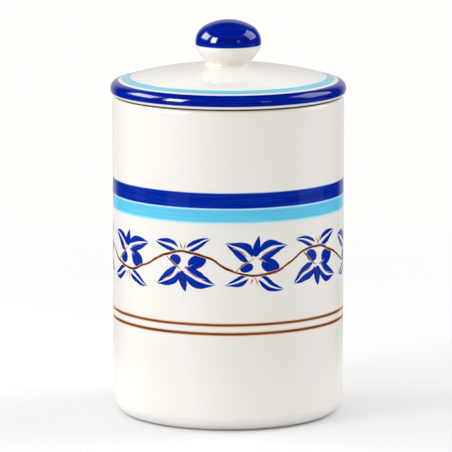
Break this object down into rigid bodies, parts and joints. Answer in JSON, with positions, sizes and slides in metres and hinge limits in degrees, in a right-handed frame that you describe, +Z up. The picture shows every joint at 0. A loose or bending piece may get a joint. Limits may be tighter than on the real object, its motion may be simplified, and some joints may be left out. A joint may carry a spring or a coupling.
{
  "type": "olive jar",
  "caption": "Upright glazed ceramic jar for olives or dry food, with a domed lift-off lid, a ball knob and a flange that keeps the lid centred in the mouth.",
  "frame": {"origin": "centre of the foot ring, on the surface that the jar stands on", "axes": "+Z up along the jar's axis, towards the knob; the form is turned, so +X and +Y are free"},
  "size_m": [0.1202, 0.1202, 0.202],
  "materials": {
    "jar_glaze": "glossy off-white glaze with hand-painted bands",
    "lid_glaze": "glossy off-white glaze, rim and knob painted cobalt blue"
  },
  "bodies": {
    "jar": {"jar": "jar_glaze"},
    "lid": {"lid": "lid_glaze"}
  },
  "joints": [
    {"name": "lid_lift", "type": "slide", "parent": "jar", "child": "lid", "axis": [0, 0, 1], "range_m": [0, 0.08]}
  ]
}
